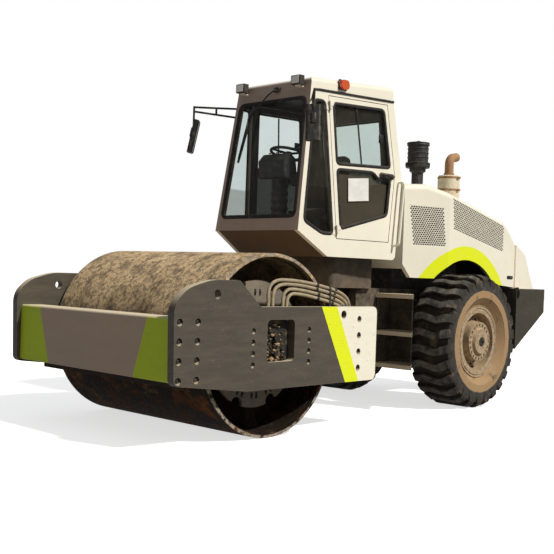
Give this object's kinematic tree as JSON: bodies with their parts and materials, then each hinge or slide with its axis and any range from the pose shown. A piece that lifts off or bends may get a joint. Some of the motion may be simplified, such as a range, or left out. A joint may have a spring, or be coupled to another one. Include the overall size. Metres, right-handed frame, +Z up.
{
  "type": "single drum road roller",
  "caption": "Articulated ride-on soil compactor: smooth steel drum in a plate frame ahead, enclosed cab and hood on lugged tyres behind.",
  "frame": {"origin": "on the ground under the middle of the machine's overall box, +Z up", "axes": "+X forward towards the drum, +Y to the machine's left, +Z up"},
  "size_m": [6.2823, 2.326, 3.4559],
  "materials": {
    "taupe_paint": "satin, worn",
    "dark_steel": "satin, dusty",
    "drum_steel": "rolled steel with dry mud and rust",
    "chrome_rod": "polished",
    "black_rubber": "matt",
    "tyre": "dusty",
    "cream_paint": "gloss",
    "grey_iron": "satin",
    "olive_paint": "satin",
    "black_paint": "satin",
    "black_plastic": "matt",
    "seat_fabric": "woven",
    "tinted_glass": "tinted",
    "lamp_body": "gloss",
    "amber": "gloss"
  },
  "bodies": {
    "rear_frame": {"chassis": "dark_steel", "rear_axle": "dark_steel", "engine": "grey_iron", "access_steps": "dark_steel", "cab_side_walls": "cream_paint", "cab_front_frame": "taupe_paint", "windscreen": "tinted_glass", "cab_floor": "taupe_paint", "cab_rear_wall": "cream_paint", "fixed_glass": "tinted_glass", "cab_roof": "cream_paint", "cab_plinth": "black_paint", "seat_pedestal": "black_paint", "seat_cushions": "seat_fabric", "steering_console": "black_plastic", "steering_wheel": "black_plastic", "mirrors": "black_paint", "work_lamps": "lamp_body", "marker_lamps": "amber", "grab_rails": "black_paint", "counterweight": "olive_paint", "tail_panel": "cream_paint"},
    "left_door_leaf": {"left_door": "cream_paint", "left_door_glass": "tinted_glass"},
    "right_door_leaf": {"right_door": "cream_paint", "right_door_glass": "tinted_glass"},
    "hood": {"engine_hood": "cream_paint", "hood_grilles": "cream_paint", "air_cleaner": "black_plastic", "exhaust": "cream_paint"},
    "hitch": {"hitch_block": "dark_steel"},
    "left_barrel": {"left_cylinder_barrel": "dark_steel"},
    "right_barrel": {"right_cylinder_barrel": "dark_steel"},
    "left_rod": {"left_cylinder_rod": "chrome_rod"},
    "right_rod": {"right_cylinder_rod": "chrome_rod"},
    "front_frame": {"left_side_plate": "taupe_paint", "right_side_plate": "taupe_paint", "front_beam": "taupe_paint", "rear_beam": "taupe_paint", "drum_scrapers": "dark_steel", "drum_motors": "dark_steel", "drum_hoses": "black_rubber", "hose_clamp": "black_paint"},
    "drum": {"drum_shell": "drum_steel", "drum_carriers": "dark_steel", "drum_isolators": "black_rubber"},
    "left_wheel": {"left_rim": "cream_paint", "left_tyre": "tyre"},
    "right_wheel": {"right_rim": "cream_paint", "right_tyre": "tyre"}
  },
  "joints": [
    {"name": "steer", "type": "hinge", "parent": "rear_frame", "child": "hitch", "pos_m": [0.28, 0, 0.78], "axis": [0, 0, 1], "range_deg": [-33, 33]},
    {"name": "oscillate", "type": "hinge", "parent": "hitch", "child": "front_frame", "pos_m": [0.28, 0, 0.78], "axis": [1, 0, 0], "range_deg": [-10, 10]},
    {"name": "drum_roll", "type": "hinge", "parent": "front_frame", "child": "drum", "pos_m": [1.94, 0, 0.8], "axis": [0, 1, 0], "continuous": true},
    {"name": "left_wheel_roll", "type": "hinge", "parent": "rear_frame", "child": "left_wheel", "pos_m": [-1.373, 0.88, 0.745], "axis": [0, 1, 0], "continuous": true},
    {"name": "right_wheel_roll", "type": "hinge", "parent": "rear_frame", "child": "right_wheel", "pos_m": [-1.373, -0.88, 0.745], "axis": [0, 1, 0], "continuous": true},
    {"name": "left_cylinder_swing", "type": "hinge", "parent": "rear_frame", "child": "left_barrel", "pos_m": [-0.48, 0.23, 0.69], "axis": [0, 0, 1], "range_deg": [-4, 4]},
    {"name": "left_cylinder_stroke", "type": "slide", "parent": "left_barrel", "child": "left_rod", "axis": [1, 0, 0], "range_m": [-0.14, 0.14]},
    {"name": "right_cylinder_swing", "type": "hinge", "parent": "rear_frame", "child": "right_barrel", "pos_m": [-0.48, -0.23, 0.69], "axis": [0, 0, 1], "range_deg": [-4, 4]},
    {"name": "right_cylinder_stroke", "type": "slide", "parent": "right_barrel", "child": "right_rod", "axis": [1, 0, 0], "range_m": [-0.14, 0.14]},
    {"name": "left_door_hinge", "type": "hinge", "parent": "rear_frame", "child": "left_door_leaf", "pos_m": [0.61169, 0.64268, 1.79795], "axis": [-0.0632, 0.064, -0.9959], "range_deg": [0, 85]},
    {"name": "right_door_hinge", "type": "hinge", "parent": "rear_frame", "child": "right_door_leaf", "pos_m": [0.61169, -0.64268, 1.79795], "axis": [0.0632, 0.064, 0.9959], "range_deg": [0, 85]},
    {"name": "hood_hinge", "type": "hinge", "parent": "rear_frame", "child": "hood", "pos_m": [-2.558, 0, 1.89], "axis": [0, -1, 0], "range_deg": [0, 50]}
  ],
  "couplings": [
    {"joint": "left_cylinder_swing", "follows": "steer", "ratio": 0.0904},
    {"joint": "left_cylinder_stroke", "follows": "steer", "m_per_rad": -0.2195},
    {"joint": "right_cylinder_swing", "follows": "steer", "ratio": 0.0904},
    {"joint": "right_cylinder_stroke", "follows": "steer", "m_per_rad": 0.2195}
  ]
}
